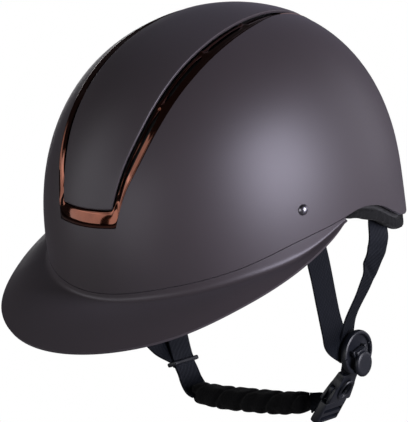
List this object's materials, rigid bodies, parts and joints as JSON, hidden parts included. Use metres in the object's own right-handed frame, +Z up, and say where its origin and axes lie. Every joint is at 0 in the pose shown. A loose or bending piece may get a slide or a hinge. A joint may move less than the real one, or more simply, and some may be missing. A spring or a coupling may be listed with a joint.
{
  "type": "riding helmet",
  "caption": "Peaked riding helmet with a matt shell, a chrome-framed crown panel, a rear fit dial and a quick-release padded chin harness.",
  "frame": {"origin": "centre of the head opening at brow level, inside the helmet, where the wearer's head is held", "axes": "+Z up through the crown, the front and peak face -Y, +X towards the wearer's left"},
  "size_m": [0.2202, 0.328, 0.2951],
  "materials": {
    "shell_matt": "soft-touch matt lacquer, dark brown",
    "trim_chrome": "rose-copper mirror plating",
    "mesh_plastic": "perforated, black",
    "rivet_steel": "domed, satin",
    "liner_foam": "expanded foam, black",
    "padding": "knitted mesh over soft foam, black",
    "chin_plush": "brushed plush, quilted, black",
    "fit_plastic": "moulded, fine grain",
    "webbing": "woven, satin, black",
    "buckle_plastic": "moulded acetal, satin",
    "pin_steel": "drawn wire"
  },
  "bodies": {
    "helmet": {"outer_shell": "shell_matt", "crown_panel": "shell_matt", "trim_frame": "trim_chrome", "vent_mesh_left": "mesh_plastic", "vent_mesh_right": "mesh_plastic", "peak": "shell_matt", "side_rivet_left": "rivet_steel", "side_rivet_right": "rivet_steel", "foam_liner": "liner_foam", "nape_pad": "padding", "brow_pad": "padding", "crown_pad": "padding", "temple_pad_left": "padding", "temple_pad_right": "padding", "fit_band_left": "fit_plastic", "fit_band_right": "fit_plastic", "cradle_housing": "fit_plastic", "cradle_cover": "fit_plastic", "front_strap_left": "webbing", "rear_strap_left": "webbing", "front_hanger_right": "webbing", "rear_hanger_right": "webbing", "divider_base": "buckle_plastic", "divider_pin": "pin_steel", "buckle_strap": "webbing", "buckle_socket": "buckle_plastic"},
    "divider_lever": {"divider_lever": "buckle_plastic"},
    "dial": {"dial_knob": "fit_plastic", "dial_pinion": "fit_plastic"},
    "rack_left": {"rack_left": "fit_plastic"},
    "rack_right": {"rack_right": "fit_plastic"},
    "chin_strap": {"front_strap_right": "webbing", "rear_strap_right": "webbing", "strap_keeper_right": "buckle_plastic", "chin_strap_right": "webbing", "chin_pad": "chin_plush", "chin_strap_left": "webbing", "buckle_tongue": "buckle_plastic"},
    "release_prong_front": {"release_prong_front": "buckle_plastic"},
    "release_prong_rear": {"release_prong_rear": "buckle_plastic"}
  },
  "joints": [
    {"name": "chin_swing", "type": "hinge", "parent": "helmet", "child": "chin_strap", "pos_m": [-0.0935, 0.01, -0.028], "axis": [0, 0.9707, -0.2402], "range_deg": [0, 70]},
    {"name": "lever_turn", "type": "hinge", "parent": "helmet", "child": "divider_lever", "pos_m": [0.0926, 0.013, -0.0969], "axis": [0, -1, 0], "range_deg": [0, 95]},
    {"name": "dial_turn", "type": "hinge", "parent": "helmet", "child": "dial", "pos_m": [0, 0.0985, -0.028], "axis": [0, 1, 0], "range_deg": [0, 160]},
    {"name": "rack_left_slide", "type": "slide", "parent": "helmet", "child": "rack_left", "axis": [-1, 0, 0], "range_m": [0, 0.014]},
    {"name": "rack_right_slide", "type": "slide", "parent": "helmet", "child": "rack_right", "axis": [1, 0, 0], "range_m": [0, 0.014]},
    {"name": "release_front", "type": "hinge", "parent": "chin_strap", "child": "release_prong_front", "pos_m": [0.07195, -0.00285, -0.13164], "axis": [-0.8661, 0.1201, 0.4853], "range_deg": [0, 8.5], "stiffness_Nm_per_rad": 0.2},
    {"name": "release_rear", "type": "hinge", "parent": "chin_strap", "child": "release_prong_rear", "pos_m": [0.07195, 0.0119, -0.13529], "axis": [0.8661, -0.1201, -0.4853], "range_deg": [0, 8.5], "stiffness_Nm_per_rad": 0.2}
  ],
  "couplings": [
    {"joint": "rack_left_slide", "follows": "dial_turn", "m_per_rad": 0.005},
    {"joint": "rack_right_slide", "follows": "dial_turn", "m_per_rad": 0.005}
  ]
}
